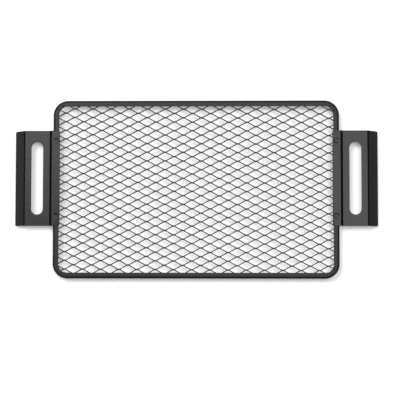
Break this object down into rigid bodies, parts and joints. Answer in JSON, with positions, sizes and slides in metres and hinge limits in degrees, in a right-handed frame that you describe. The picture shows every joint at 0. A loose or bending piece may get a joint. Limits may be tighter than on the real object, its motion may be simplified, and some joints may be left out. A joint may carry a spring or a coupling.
{
  "type": "motorcycle radiator cover",
  "caption": "Rectangular expanded-metal radiator cover in a folded channel rim, with a slotted folded bracket on each side.",
  "frame": {"origin": "centre of the bounding box at the plane that the cover lies on, which is the rear edge of both brackets' rear flanges", "axes": "+X across the cover to its right seen from the front, +Y up the cover as fitted, +Z out of its front"},
  "size_m": [0.3212, 0.157, 0.0118],
  "materials": {
    "powder_coated_rim": "satin black powder coat",
    "powder_coated_weld": "satin black powder coat over a weld bead",
    "powder_coated_mesh": "satin black powder coat",
    "powder_coated_bracket": "satin black powder coat"
  },
  "bodies": {
    "root": {"rim": "powder_coated_rim", "rim_weld": "powder_coated_weld", "mesh_panel": "powder_coated_mesh", "left_bracket": "powder_coated_bracket", "right_bracket": "powder_coated_bracket"}
  },
  "joints": []
}
